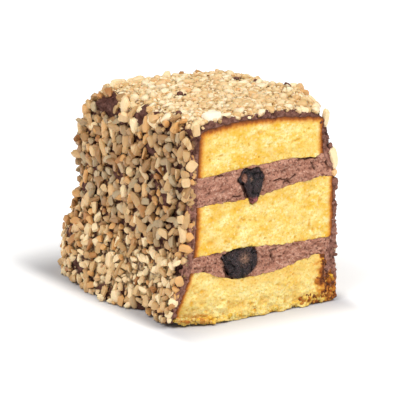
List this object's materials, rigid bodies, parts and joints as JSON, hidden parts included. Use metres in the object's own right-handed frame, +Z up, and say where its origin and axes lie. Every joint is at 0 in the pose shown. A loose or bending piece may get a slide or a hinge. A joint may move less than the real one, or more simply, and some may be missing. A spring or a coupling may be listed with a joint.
{
  "type": "layered cake end piece",
  "caption": "Cut end of a loaf cake: yellow sponge and chocolate cream layers with prunes, in a chocolate coat covered with chopped nuts.",
  "frame": {"origin": "on the floor under the middle of the cake, between its left and right sides, with the cut 60 mm in front", "axes": "+Z up, -Y out of the cut face, +X to the right of someone who looks at the cut face"},
  "size_m": [0.0927, 0.1214, 0.0947],
  "materials": {
    "sponge": "dry open crumb, browned at the edges",
    "cream": "soft whipped chocolate cream, torn by the knife",
    "prune": "wrinkled, moist, slightly glossy",
    "nut_coat": "chopped nuts pressed into soft chocolate"
  },
  "bodies": {
    "root": {"sponge_bottom": "sponge", "sponge_middle": "sponge", "sponge_top": "sponge", "cream_lower": "cream", "cream_upper": "cream", "prune_lower": "prune", "prune_upper": "prune", "coating": "nut_coat"}
  },
  "joints": []
}
